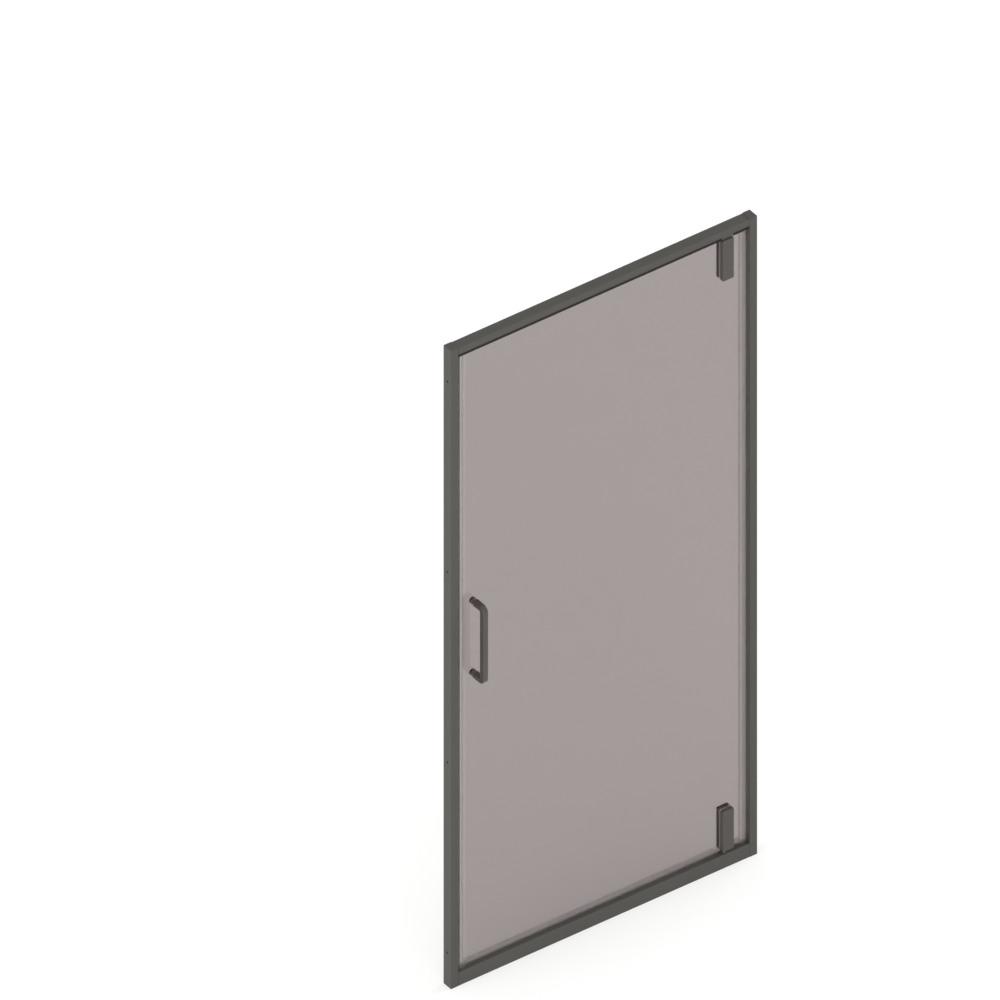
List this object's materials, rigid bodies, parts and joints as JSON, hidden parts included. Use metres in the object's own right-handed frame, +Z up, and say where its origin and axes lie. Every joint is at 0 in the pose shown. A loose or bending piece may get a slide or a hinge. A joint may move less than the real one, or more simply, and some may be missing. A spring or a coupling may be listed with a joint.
{
  "type": "hinged shower door",
  "caption": "Framed niche shower door: tinted glass leaf on inset top and bottom pivots, bow handle, magnetic closing edge, telescoping wall channels.",
  "frame": {"origin": "middle of the threshold rail's underside, in the middle plane of the glass", "axes": "+Z up, +X to the right seen from outside, towards the hinge side, +Y into the shower"},
  "size_m": [0.9, 0.0649, 1.9],
  "materials": {
    "frame_metal": "satin dark grey powder coat on extruded aluminium",
    "hinge_metal": "satin dark grey coating on solid metal",
    "tinted_glass": "toughened safety glass, warm grey tint",
    "black_rubber": "black rubber",
    "clear_seal": "clear soft plastic profile",
    "grey_plastic": "moulded plastic, dark grey",
    "pale_gasket": "soft pale grey gasket sheet",
    "magnet": "flexible magnet strip",
    "stainless": "stainless steel",
    "nylon": "natural nylon"
  },
  "bodies": {
    "frame": {"strike_wall_channel": "frame_metal", "hinge_wall_channel": "frame_metal", "strike_jamb": "frame_metal", "hinge_jamb": "frame_metal", "head_rail": "frame_metal", "threshold_rail": "frame_metal", "strike_channel_cap": "grey_plastic", "hinge_channel_cap": "grey_plastic", "frame_screws": "stainless", "lock_screws": "stainless", "lock_screw_caps": "grey_plastic", "strike_strip": "clear_seal", "strike_magnet": "magnet", "hinge_infill": "grey_plastic", "head_seal": "black_rubber", "upper_pivot_socket": "hinge_metal", "lower_pivot_socket": "hinge_metal", "upper_pivot_bush": "nylon", "lower_pivot_bush": "nylon", "socket_screws": "stainless"},
    "leaf": {"glass_panel": "tinted_glass", "upper_pivot_pin": "stainless", "lower_pivot_pin": "stainless", "strike_edge_seal": "clear_seal", "leaf_magnet": "magnet", "hinge_edge_seal": "clear_seal", "drip_seal": "clear_seal", "pull_handle": "hinge_metal", "handle_washers": "pale_gasket", "handle_sleeves": "nylon", "handle_rosettes": "hinge_metal", "handle_screws": "stainless", "upper_hinge_outer_plate": "hinge_metal", "upper_hinge_inner_plate": "hinge_metal", "upper_hinge_gaskets": "pale_gasket", "upper_hinge_screws": "stainless", "upper_hinge_sleeve": "nylon", "lower_hinge_outer_plate": "hinge_metal", "lower_hinge_inner_plate": "hinge_metal", "lower_hinge_gaskets": "pale_gasket", "lower_hinge_screws": "stainless", "lower_hinge_sleeve": "nylon"}
  },
  "joints": [
    {"name": "leaf_swing", "type": "hinge", "parent": "frame", "child": "leaf", "pos_m": [0.365, 0, 0.95], "axis": [0, 0, 1], "range_deg": [0, 90]}
  ]
}
